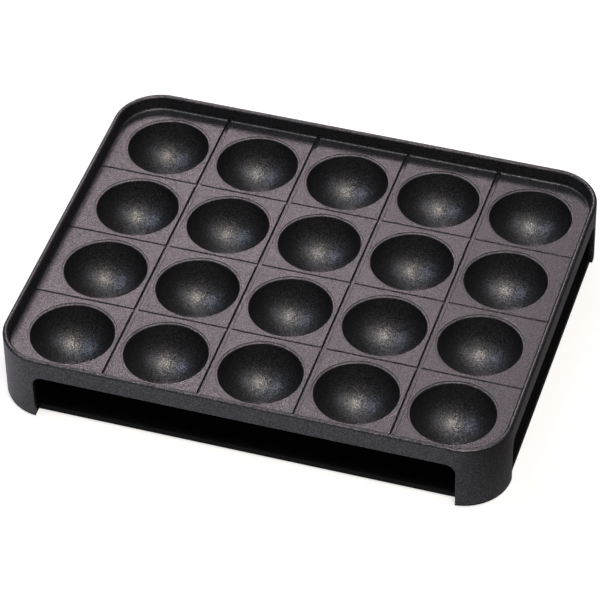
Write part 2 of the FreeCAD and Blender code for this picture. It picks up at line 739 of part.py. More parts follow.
def inlet_housing():
    """Moulded socket with a recess, two ears and two contact bores."""
    half = INLET_WIDTH / 2
    body = box(-half, half, INLET_FRONT, INLET_FACE, PAN_TOP, INLET_TOP)
    body = body.makeFillet(INLET_CORNER, [e for e in edges_along(body, Vector(0, 1, 0))
                                          if e.BoundBox.ZMin > INLET_Z])
    ears = box(-half - INLET_EAR, half + INLET_EAR, PAN_Y - INLET_EAR, PAN_Y - PAN_SHEET / 2,
               PAN_TOP, PAN_TOP + INLET_EAR_HEIGHT)
    ears = ears.makeFillet(INLET_CORNER, edges_along(ears, UP))
    recess = box(-half + INLET_RIM, half - INLET_RIM, INLET_FACE - INLET_RECESS_DEPTH, INLET_FACE,
                 PAN_TOP + INLET_RIM, INLET_TOP - INLET_RIM)
    recess = recess.makeFillet(INLET_CORNER, edges_along(recess, Vector(0, 1, 0)))
    bores = [contact_rod(sign) for sign in (-1, 1)]
    holes = [cylinder(x, y, 0, INLET_TOP, SCREW_RADIUS) for x, y in inlet_screw_places()]
    return body.fuse(ears).cut([recess] + bores + holes)


def contact_rod(sign):
    """The round rod of one contact."""
    start = Vector(sign * CONTACT_X, STUB_Y, INLET_Z)
    length = INLET_FACE - CONTACT_TIP - STUB_Y
    return Part.makeCylinder(CONTACT_RADIUS, length, start, Vector(0, 1, 0))


def inlet_pin(sign):
    """Contact with a rounded tip."""
    rod = contact_rod(sign)
    tip = [e for e in level_ring_edges(rod) if e.BoundBox.YMin > INLET_FACE - INLET_RECESS_DEPTH]
    return rod.makeChamfer(CONTACT_RADIUS / 3, tip)


def inlet_keeper():
    """Steel plate on the recess floor that the plug's magnets hold."""
    margin = INLET_RIM + KEEPER_MARGIN
    low = INLET_FACE - INLET_RECESS_DEPTH
    plate = box(-INLET_WIDTH / 2 + margin, INLET_WIDTH / 2 - margin, low, low + KEEPER_SHEET,
                PAN_TOP + margin, INLET_TOP - margin)
    plate = plate.makeFillet(INLET_CORNER / 2, edges_along(plate, Vector(0, 1, 0)))
    relief = 2 * CONTACT_RADIUS
    holes = []
    for sign in (-1, 1):
        start = Vector(sign * CONTACT_X, low, INLET_Z)
        holes.append(Part.makeCylinder(relief, KEEPER_SHEET, start, Vector(0, 1, 0)))
    return plate.cut(holes)


def lead(points):
    """A sleeved lead through its points."""
    return tube(rounded_route([Vector(*point) for point in points], LEAD_BEND), LEAD_RADIUS)


TERMINAL_Y = TAIL_Y + BUSH_LENGTH + PIN_LENGTH
LEAD_BACK_Y = TERMINAL_Y + 4.6


def leads():
    """Every lead by name, from its first connection to its last."""
    fuse_back = FUSE_Y + FUSE_LENGTH / 2
    fuse_front = FUSE_Y - FUSE_LENGTH / 2
    right_tab = SENSOR_X + TAB_OFFSET
    return {
        "lead_neutral": lead([
            (-TAIL_X, TERMINAL_Y, HEATER_Z),
            (-TAIL_X, LEAD_BACK_Y, HEATER_Z),
            (-TAIL_X - 9.5, LEAD_BACK_Y, HEATER_Z),
            (-TAIL_X - 9.5, STUB_Y - 4.5, LEAD_Z),
            (-CONTACT_X - 6, STUB_Y - 7, LEAD_Z),
            (-CONTACT_X, STUB_Y - 4.5, INLET_Z),
            (-CONTACT_X, STUB_Y, INLET_Z),
        ]),
        "lead_live": lead([
            (CONTACT_X, STUB_Y, INLET_Z),
            (CONTACT_X, STUB_Y - 4.5, INLET_Z),
            (CONTACT_X + 6, STUB_Y - 10, LEAD_Z),
            (CONTACT_X + 6, fuse_back + 12, LEAD_Z),
            (FUSE_X, fuse_back + 6, FUSE_Z),
            (FUSE_X, fuse_back, FUSE_Z),
        ]),
        "lead_fuse": lead([
            (FUSE_X, fuse_front, FUSE_Z),
            (FUSE_X, fuse_front - 4, FUSE_Z),
            (FUSE_X, TAB_Y + 4, TAB_Z),
            (FUSE_X, TAB_Y, TAB_Z),
        ]),
        "lead_heater": lead([
            (right_tab, TAB_Y, TAB_Z),
            (right_tab, TAB_Y + 4.5, TAB_Z),
            (TAIL_X + 12.5, TAB_Y + 12, LEAD_Z),
            (TAIL_X + 12.5, STUB_Y - 6, LEAD_Z),
            (TAIL_X + 9.5, LEAD_BACK_Y, HEATER_Z),
            (TAIL_X, LEAD_BACK_Y, HEATER_Z),
            (TAIL_X, TERMINAL_Y, HEATER_Z),
        ]),
    }


def base_pieces():
    """Every piece that stays with the base, by name."""
    pieces = {"base_pan": base_pan(), "reflector": reflector()}
    pieces["heater_element"] = tube(heater_route(), TUBE_RADIUS)
    for name, sign in (("left", -1), ("right", 1)):
        pieces["heater_bush_" + name] = heater_bush(sign)
        pieces["heater_pin_" + name] = heater_pin(sign)
        pieces["inlet_pin_" + name] = inlet_pin(sign)
    for name, x, y in foot_places():
        pieces["foot_" + name] = foot(x, y)
    for name, (x, y, heading, _) in zip(clip_names(), clip_places()):
        pieces[name] = heater_clip(x, y, heading)
    seat = REFLECTOR_TOP + CLIP_SHEET
    pieces["clip_rivets"] = Part.makeCompound([rivet(x, y, seat) for x, y in clip_rivet_places()])
    pieces["bracket_rivets"] = Part.makeCompound([rivet(x, y, seat) for x, y in bracket_rivet_places()])
    strap_seat = REFLECTOR_TOP + STRAP_SHEET
    pieces["strap_rivet"] = Part.makeCompound([rivet(x, y, strap_seat) for x, y in strap_rivet_places()])
    screws = [screw(x, y, FOOT_DROP + BEAD_HEIGHT, REFLECTOR_TOP) for x, y in reflector_screw_places()]
    pieces["reflector_screws"] = Part.makeCompound(screws)
    ear_top = PAN_TOP + INLET_EAR_HEIGHT
    screws = [screw(x, y, FOOT_DROP, ear_top) for x, y in inlet_screw_places()]
    pieces["inlet_screws"] = Part.makeCompound(screws)
    pieces["thermostat_bracket"] = thermostat_bracket()
    pieces["thermostat_case"] = thermostat_case()
    pieces["thermostat_tabs"] = thermostat_tabs()
    pieces["sensor_spring"] = sensor_spring()
    pieces["thermal_fuse"] = thermal_fuse()
    pieces["fuse_strap"] = fuse_strap()
    pieces["inlet_housing"] = inlet_housing()
    pieces["inlet_keeper"] = inlet_keeper()
    pieces.update(leads())
    return pieces


def main():
    """Build every piece and write it to its own file."""
    os.makedirs("parts", exist_ok=True)
    pieces = base_pieces()
    pieces["cooking_plate"] = cooking_plate()
    pieces["sensor_button"] = sensor_button()
    for name, shape in pieces.items():
        shape.exportStep("parts/" + name + ".step")
        print(name, len(shape.Solids), shape.isValid(), round(shape.Volume, 1))


main()
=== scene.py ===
import enum
import json
import logging
import math
from dataclasses import dataclass, field

import bmesh
import bpy
from mathutils import Matrix, Vector


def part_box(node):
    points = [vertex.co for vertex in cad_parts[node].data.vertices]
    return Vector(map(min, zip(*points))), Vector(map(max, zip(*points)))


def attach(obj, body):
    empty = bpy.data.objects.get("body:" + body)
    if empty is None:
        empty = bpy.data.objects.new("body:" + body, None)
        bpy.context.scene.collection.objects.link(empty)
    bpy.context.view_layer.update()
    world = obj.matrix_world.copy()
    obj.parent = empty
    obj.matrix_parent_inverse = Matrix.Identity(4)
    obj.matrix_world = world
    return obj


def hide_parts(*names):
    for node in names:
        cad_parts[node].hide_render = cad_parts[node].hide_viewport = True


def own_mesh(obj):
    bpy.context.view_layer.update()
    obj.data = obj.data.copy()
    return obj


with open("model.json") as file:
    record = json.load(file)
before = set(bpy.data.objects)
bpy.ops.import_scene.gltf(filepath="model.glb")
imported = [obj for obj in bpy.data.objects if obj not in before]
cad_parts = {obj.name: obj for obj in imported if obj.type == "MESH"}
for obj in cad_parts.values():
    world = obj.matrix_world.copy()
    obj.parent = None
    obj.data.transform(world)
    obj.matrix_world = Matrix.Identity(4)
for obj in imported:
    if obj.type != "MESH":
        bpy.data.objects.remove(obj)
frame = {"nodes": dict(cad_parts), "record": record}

# Dresses the takoyaki maker: a cast cooking plate on a low heated base.
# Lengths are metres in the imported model's frame, and millimetres in names that end in _mm
# and in the classes of the pieces.

LOG = logging.getLogger("takoyaki_maker")
MM = 0.001
TINY = 1e-6
LEVEL_NORMAL = 0.999
LEVEL_SLACK = 1e-4
ORIGIN = (0.0, 0.0, 0.0)
UP = (0.0, 0.0, 1.0)
EVEN = (1.0, 1.0, 1.0)
PURE_WHITE = (1.0, 1.0, 1.0, 1.0)

# The sRGB curve is straight up to the knee and a shifted power above it.
SRGB_KNEE = 0.04045
SRGB_SLOPE = 12.92
SRGB_SHIFT = 0.055
SRGB_POWER = 2.4

# Most of a noise texture's values lie between these two.
NOISE_LOW = 0.3
NOISE_HIGH = 0.7


def linear(hex_colour: str) -> tuple[float, float, float, float]:
    """Turns an sRGB hex colour into linear light.

    Args:
        hex_colour: Six hex digits, such as "2A2729".

    Returns:
        Linear red, green, blue and an alpha of one.
    """
    channels = []
    for start in (0, 2, 4):
        value = int(hex_colour[start:start + 2], 16) / 255
        if value <= SRGB_KNEE:
            channels.append(value / SRGB_SLOPE)
        else:
            channels.append(((value + SRGB_SHIFT) / (1.0 + SRGB_SHIFT)) ** SRGB_POWER)
    return (channels[0], channels[1], channels[2], 1.0)


def cycles_per_metre(size_mm: float) -> float:
    """Scale of a texture whose features are a size apart.

    Args:
        size_mm: Distance between features in millimetres.

    Returns:
        Features in a metre.
    """
    return 1.0 / (size_mm * MM)


def add_node(tree: bpy.types.NodeTree, kind: str, settings: dict[str, object] | None = None,
             inputs: dict[str | int, object] | None = None) -> bpy.types.Node:
    """Adds a node with its settings, values and links.

    Args:
        tree: The node tree that gets the node.
        kind: The node's type name.
        settings: Properties of the node.
        inputs: A value, or the output socket to link, for each named input.

    Returns:
        The new node.
    """
    node = tree.nodes.new(kind)
    for name, value in (settings or {}).items():
        setattr(node, name, value)
    for name, value in (inputs or {}).items():
        if isinstance(value, bpy.types.NodeSocket):
            tree.links.new(value, node.inputs[name])
        else:
            node.inputs[name].default_value = value
    return node


def new_material(name: str) -> tuple[bpy.types.Material, bpy.types.NodeTree]:
    """Starts a node material with no nodes in it.

    Args:
        name: Name of the material.

    Returns:
        The material and its empty node tree.
    """
    material = bpy.data.materials.new(name)
    material.use_nodes = True
    material.node_tree.nodes.clear()
    return material, material.node_tree


def close_material(tree: bpy.types.NodeTree, shader: bpy.types.Node) -> None:
    """Joins a shader to the material's output.

    Args:
        tree: The material's node tree.
        shader: The node whose first output is the surface.
    """
    add_node(tree, "ShaderNodeOutputMaterial", inputs={"Surface": shader.outputs[0]})


def object_place(tree: bpy.types.NodeTree) -> bpy.types.NodeSocket:
    """Adds the object's own coordinates.

    Args:
        tree: The node tree.

    Returns:
        The point on the object, in metres.
    """
    return add_node(tree, "ShaderNodeTexCoord").outputs["Object"]


def ramp_between(tree: bpy.types.NodeTree, factor: bpy.types.NodeSocket, low: float, high: float,
                 start: float, end: float) -> bpy.types.NodeSocket:
    """Maps a pattern's range onto another range, clamped at both ends.

    Args:
        tree: The node tree.
        factor: The pattern.
        low: Pattern value where the result starts to change.
        high: Pattern value where the result stops changing.
        start: Result at low.
        end: Result at high.

    Returns:
        The mapped value.
    """
    node = add_node(tree, "ShaderNodeMapRange", {"clamp": True}, {
        "Value": factor, "From Min": low, "From Max": high, "To Min": start, "To Max": end})
    return node.outputs["Result"]


def add_noise(tree: bpy.types.NodeTree, place: bpy.types.NodeSocket, size_mm: float,
              detail: float) -> bpy.types.NodeSocket:
    """Adds a noise.

    Args:
        tree: The node tree.
        place: The point on the object.
        size_mm: Size of the noise's features in millimetres.
        detail: How many finer layers it has.

    Returns:
        The noise's value.
    """
    node = add_node(tree, "ShaderNodeTexNoise", inputs={
        "Vector": place, "Scale": cycles_per_metre(size_mm), "Detail": detail})
    return node.outputs["Fac"]


def add_mix(tree: bpy.types.NodeTree, factor: bpy.types.NodeSocket, first: object,
            second: object) -> bpy.types.NodeSocket:
    """Mixes two colours.

    Args:
        tree: The node tree.
        factor: Share of the second colour.
        first: A linear colour or an output socket.
        second: A linear colour or an output socket.

    Returns:
        The mixed colour.
    """
    node = add_node(tree, "ShaderNodeMix", {"data_type": "RGBA"}, {
        "Factor": factor, "A": first, "B": second})
    return node.outputs["Result"]


def add_bump(tree: bpy.types.NodeTree, height: bpy.types.NodeSocket, strength: float,
             relief_mm: float) -> bpy.types.NodeSocket:
    """Turns a pattern into fine relief.

    Args:
        tree: The node tree.
        height: The pattern.
        strength: Share of the relief that shows.
        relief_mm: Height of the relief in millimetres.

    Returns:
        The normal of the relief.
    """
    node = add_node(tree, "ShaderNodeBump", inputs={
        "Height": height, "Strength": strength, "Distance": relief_mm * MM})
    return node.outputs["Normal"]


def vary(tree: bpy.types.NodeTree, noise: bpy.types.NodeSocket, middle: float, below: float,
         above: float) -> bpy.types.NodeSocket:
    """Lets a value follow a noise round its middle.

    Args:
        tree: The node tree.
        noise: The noise.
        middle: The value in the middle.
        below: How far the value falls.
        above: How far the value rises.

    Returns:
        The value.
    """
    return ramp_between(tree, noise, NOISE_LOW, NOISE_HIGH, middle - below, middle + above)


@dataclass(frozen=True)
class CastCoating:
    """Die-cast aluminium with a sprayed non-stick coating that holds fine metallic flakes.

    The flakes scatter a broad, speckled sheen under a thin clear skin, and the body between
    them stays near black, so the eye sees mostly what stands round the plate.
    """

    name: str = "nonstick_coated_diecast_aluminium"
    body_hex: str = "0E0F10"
    body_ior: float = 1.5
    flake_hex: str = "69676A"
    flake_share: float = 0.35
    flake_edge: float = 0.01
    flake_mm: float = 0.3
    flake_tilt: float = 0.1
    flake_roughness: float = 0.06
    roughness: float = 0.41
    roughness_spread: float = 0.02
    cloud_mm: float = 40.0
    peel_mm: float = 1.3
    peel_relief_mm: float = 0.03
    peel_strength: float = 0.5
    skin: float = 0.2
    skin_roughness: float = 0.28

    def build(self) -> bpy.types.Material:
        """Builds the coating.

        Returns:
            The finished material.
        """
        material, tree = new_material(self.name)
        place = object_place(tree)
        # Real flakes are about 0.05 mm across; they are drawn coarser so that they show.
        flakes = add_node(tree, "ShaderNodeTexVoronoi", {"feature": "F1"}, {
            "Vector": place, "Scale": cycles_per_metre(self.flake_mm)})
        chance = add_node(tree, "ShaderNodeSeparateColor", inputs={
            "Color": flakes.outputs["Color"]})
        plain = 1.0 - self.flake_share
        shine = ramp_between(tree, chance.outputs["Red"], plain, plain + self.flake_edge,
                             0.0, 1.0)
        cloud = add_noise(tree, place, self.cloud_mm, detail=2.0)
        colour = add_mix(tree, shine, linear(self.body_hex), linear(self.flake_hex))
        spread = self.roughness_spread
        roughness = add_node(tree, "ShaderNodeMath", {"operation": "MULTIPLY_ADD"}, {
            0: chance.outputs["Green"], 1: self.flake_roughness,
            2: vary(tree, cloud, self.roughness, spread, spread)})
        peel = add_noise(tree, place, self.peel_mm, detail=2.0)
        skin_normal = add_bump(tree, peel, self.peel_strength, self.peel_relief_mm)
        lean = add_node(tree, "ShaderNodeVectorMath", {"operation": "MULTIPLY_ADD"}, {
            0: flakes.outputs["Color"],
            1: (2 * self.flake_tilt,) * 3, 2: (-self.flake_tilt,) * 3})
        tilted = add_node(tree, "ShaderNodeVectorMath", {"operation": "ADD"}, {
            0: skin_normal, 1: lean.outputs["Vector"]})
        facing = add_node(tree, "ShaderNodeVectorMath", {"operation": "NORMALIZE"}, {
            0: tilted.outputs["Vector"]})
        shader = add_node(tree, "ShaderNodeBsdfPrincipled", inputs={
            "Base Color": colour, "Metallic": shine, "Roughness": roughness.outputs[0],
            "Normal": facing.outputs["Vector"], "IOR": self.body_ior,
            "Coat Weight": self.skin, "Coat Roughness": self.skin_roughness,
            "Coat Normal": skin_normal})
        close_material(tree, shader)
        return material


@dataclass(frozen=True)
class SheetMetal:
    """Rolled or drawn metal: fine lines along one direction and faint handling marks.

    Rolling leaves hair-fine streaks that stretch the highlights along the sheet.
    """

    name: str
    colour_hex: str
    dark_hex: str
    roughness: float
    grain_mm: float
    stretch: tuple[float, float, float] = EVEN
    blotch_mm: float = 18.0
    blotch_range: tuple[float, float] = (0.35, 0.7)
    blotch_depth: float = 0.8
    smoother: float = 0.07
    rougher: float = 0.09
    relief_mm: float = 0.01
    relief_strength: float = 0.5

    def build(self) -> bpy.types.Material:
        """Builds the metal.

        Returns:
            The finished material.
        """
        material, tree = new_material(self.name)
        place = object_place(tree)
        stretched = add_node(tree, "ShaderNodeMapping", inputs={
            "Vector": place, "Scale": self.stretch})
        grain = add_noise(tree, stretched.outputs["Vector"], self.grain_mm, detail=3.0)
        blotch = add_noise(tree, place, self.blotch_mm, detail=4.0)
        dulled = ramp_between(tree, blotch, *self.blotch_range, 0.0, self.blotch_depth)
        shader = add_node(tree, "ShaderNodeBsdfPrincipled", inputs={
            "Base Color": add_mix(tree, dulled, linear(self.colour_hex), linear(self.dark_hex)),
            "Metallic": 1.0,
            "Roughness": vary(tree, grain, self.roughness, self.smoother, self.rougher),
            "Normal": add_bump(tree, grain, self.relief_strength, self.relief_mm)})
        close_material(tree, shader)
        return material


@dataclass(frozen=True)
class MouldedSolid:
    """Moulded, fired or baked non-metal with a fine skin texture and slight colour variation.

    Its colour comes from within, and the skin's texture breaks the highlights up softly.
    """

    name: str
    colour_hex: str
    shade_hex: str
    roughness: float
    texture_mm: float
    relief_mm: float
    ior: float = 1.5
    cloud_mm: float = 30.0
    cloud_range: tuple[float, float] = (0.35, 0.65)
    smoother: float = 0.05
    rougher: float = 0.06
    relief_strength: float = 0.6

    def build(self) -> bpy.types.Material:
        """Builds the material.

        Returns:
            The finished material.
        """
        material, tree = new_material(self.name)
        place = object_place(tree)
        skin = add_noise(tree, place, self.texture_mm, detail=3.0)
        cloud = add_noise(tree, place, self.cloud_mm, detail=2.0)
        shaded = ramp_between(tree, cloud, *self.cloud_range, 0.0, 1.0)
        shader = add_node(tree, "ShaderNodeBsdfPrincipled", inputs={
            "Base Color": add_mix(tree, shaded, linear(self.colour_hex), linear(self.shade_hex)),
            "Roughness": vary(tree, skin, self.roughness, self.smoother, self.rougher),
            "Normal": add_bump(tree, skin, self.relief_strength, self.relief_mm),
            "IOR": self.ior})
        close_material(tree, shader)
        return material


@dataclass(frozen=True)
class BraidedSleeve:
    """Braided glass-fibre sleeve: two crossing sets of strands with a soft sheen."""

    name: str
    colour_hex: str
    gap_hex: str
    strand_mm: float
    strand_turns: tuple[float, float] = (45.0, -45.0)
    unevenness: float = 0.6
    weave_range: tuple[float, float] = (0.1, 0.6)
    relief_mm: float = 0.08
    relief_strength: float = 0.7
    roughness: float = 0.8
    sheen: float = 0.3

    def build(self) -> bpy.types.Material:
        """Builds the sleeve.

        Returns:
            The finished material.
        """
        material, tree = new_material(self.name)
        place = object_place(tree)
        strands = []
        for turn in self.strand_turns:
            turned = add_node(tree, "ShaderNodeMapping", inputs={
                "Vector": place, "Rotation": (math.radians(turn),) * 3})
            wave = add_node(tree, "ShaderNodeTexWave", {"wave_type": "BANDS"}, {
                "Vector": turned.outputs["Vector"], "Distortion": self.unevenness,
                "Scale": cycles_per_metre(self.strand_mm) / math.tau})
            strands.append(wave.outputs["Fac"])
        weave = add_node(tree, "ShaderNodeMath", {"operation": "MULTIPLY"}, {
            0: strands[0], 1: strands[1]}).outputs[0]
        raised = ramp_between(tree, weave, *self.weave_range, 0.0, 1.0)
        shader = add_node(tree, "ShaderNodeBsdfPrincipled", inputs={
            "Base Color": add_mix(tree, raised, linear(self.gap_hex), linear(self.colour_hex)),
            "Roughness": self.roughness, "Sheen Weight": self.sheen,
            "Normal": add_bump(tree, weave, self.relief_strength, self.relief_mm)})
        close_material(tree, shader)
        return material


class Slot(enum.Enum):
    """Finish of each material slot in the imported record."""

    NONSTICK_CASTING = CastCoating()
    # Enamel baked on steel: a black too matt to mirror anything. Its deep black and lack of
    # reflection are partly painted shade for the dark hollow under the plate.
    BLACK_ENAMEL = MouldedSolid("black_enamel_and_painted_shade", "0A0A0B", "0E0E0F",
                                roughness=0.62, texture_mm=0.9, relief_mm=0.012, ior=1.25)
    # Aluminised sheet: pale, with reflections drawn out along the rolling.
    BRIGHT_SHEET = SheetMetal("aluminised_steel_sheet", "C9C9C6", "A9A8A2",
                              roughness=0.3, grain_mm=0.5, stretch=(1.0, 0.05, 1.0))
    # A sheath that has been hot: brown oxide over a metal that still glints.
    HEATER_SHEATH = SheetMetal("heat_darkened_sheath", "5B564F", "37332F",
                               roughness=0.45, grain_mm=0.7)
    # Zinc plate: cool grey with small dull blotches.
    PLATED_STEEL = SheetMetal("zinc_plated_steel", "B9BCBE", "8D9093",
                              roughness=0.32, grain_mm=0.6, blotch_mm=6.0)
    # Phenolic: an opaque moulding, satin from the mould's own surface.
    BROWN_PHENOLIC = MouldedSolid("moulded_brown_phenolic", "4A2E1E", "3B2417",
                                  roughness=0.42, texture_mm=0.6, relief_mm=0.015)
    BLACK_PHENOLIC = MouldedSolid("moulded_black_phenolic", "1B1B1C", "222223",
                                  roughness=0.45, texture_mm=0.6, relief_mm=0.02)
    # Turned brass: warm and bright, the smoothest metal here.
    CONTACT_BRASS = SheetMetal("turned_plated_brass", "D8C08A", "B79C63",
                               roughness=0.24, grain_mm=0.3, blotch_mm=4.0)
    # Pressed aluminium: nearly white, with faint drawing lines.
    SENSOR_ALUMINIUM = SheetMetal("pressed_aluminium_cap", "D5D6D7", "B6B7B9",
                                  roughness=0.3, grain_mm=0.4, stretch=(1.0, 0.2, 1.0))
    # Drawn wire: mid grey with short, sharp glints.
    SPRING_STEEL = SheetMetal("drawn_spring_steel", "9A9B9D", "6F7072", roughness=0.28,
                              grain_mm=0.3, stretch=(1.0, 1.0, 0.2), blotch_mm=3.0)
    # Glass fibre: off-white strands with darker gaps and no highlight.
    FUSE_SLEEVE = BraidedSleeve("woven_fuse_sleeve", "DAD6C6", "A39E8C", strand_mm=0.8)
    LEAD_SLEEVE = BraidedSleeve("braided_lead_sleeve", "DCD9CE", "A8A496", strand_mm=0.7)
    # Fired steatite: creamy white and dry.
    WHITE_CERAMIC = MouldedSolid("fired_steatite", "E9E5DA", "DDD8CB",
                                 roughness=0.55, texture_mm=0.4, relief_mm=0.01)
    # Silicone: near black, with a soft, wide highlight.
    DARK_SILICONE = MouldedSolid("moulded_silicone", "161616", "1C1C1C",
                                 roughness=0.6, texture_mm=0.5, relief_mm=0.02, ior=1.41)


def material_for(slot: str, made: dict[str, bpy.types.Material]) -> bpy.types.Material:
    """Finds or builds the material of a record slot.

    Args:
        slot: Name of the slot in the record.
        made: Materials built so far, by slot.

    Returns:
        The slot's material.
    """
    if slot not in made:
        made[slot] = Slot[slot.upper()].value.build()
    return made[slot]


def mesh_object(bm: bmesh.types.BMesh, name: str) -> bpy.types.Object:
    """Turns a bmesh into an object at the origin and frees the bmesh.

    Args:
        bm: The finished bmesh.
        name: Name of the object.

    Returns:
        The new object, linked to the scene.
    """
    mesh = bpy.data.meshes.new(name)
    bm.to_mesh(mesh)
    bm.free()
    made = bpy.data.objects.new(name, mesh)
    bpy.context.scene.collection.objects.link(made)
    return made


def shade_by_angle(piece: bpy.types.Object, degrees: float) -> None:
    """Shades a piece smooth, with hard edges past an angle and flats that stay flat.

    Args:
        piece: The piece.
        degrees: Edges sharper than this stay hard.
    """
    piece.data.shade_smooth()
    piece.data.set_sharp_from_angle(angle=math.radians(degrees))
    modifier = piece.modifiers.new("flat_faces_stay_flat", "WEIGHTED_NORMAL")
    modifier.keep_sharp = True


def arc(bm: bmesh.types.BMesh, start: bmesh.types.BMVert, centre: Vector, axis: Vector,
        degrees: float, steps: int) -> bmesh.types.BMVert:
    """Continues a chain of edges round an arc.

    Args:
        bm: The bmesh that holds the chain.
        start: Last vertex of the chain so far.
        centre: Centre of the arc.
        axis: Axis that the arc turns about.
        degrees: Angle of the arc.
        steps: Edges in the arc.

    Returns:
        The arc's last vertex.
    """
    result = bmesh.ops.spin(bm, geom=[start], cent=centre, axis=axis, angle=math.radians(degrees),
                            steps=steps, use_duplicate=False)
    return next(item for item in result["geom_last"] if isinstance(item, bmesh.types.BMVert))


def turned_mesh(name: str, start: Vector, turns: list[tuple[Vector, Vector, float, int]],
                facets: int) -> bpy.types.Mesh:
    """Turns a profile of arcs once round the Z axis, poles closed.

    Args:
        name: Name of the mesh.
        start: First point of the profile.
        turns: Centre, axis, angle and steps of each arc of the profile.
        facets: Facets round the axis.

    Returns:
        The turned mesh, open at its first ring.
    """
    bm = bmesh.new()
    last = bm.verts.new(start)
    for centre, axis, degrees, steps in turns:
        last = arc(bm, last, centre, axis, degrees, steps)
    bmesh.ops.spin(bm, geom=bm.verts[:] + bm.edges[:], cent=ORIGIN, axis=UP, angle=math.tau,
                   steps=facets, use_merge=True, use_duplicate=False)
    bmesh.ops.remove_doubles(bm, verts=bm.verts[:], dist=TINY)
    mesh = bpy.data.meshes.new(name)
    bm.to_mesh(mesh)
    bm.free()
    return mesh


class Round(enum.Enum):
    """Which way a quarter round turns as it runs in over the tray."""

    OUTER_CREST = enum.auto()
    INNER_CREST = enum.auto()
    FOOT = enum.auto()


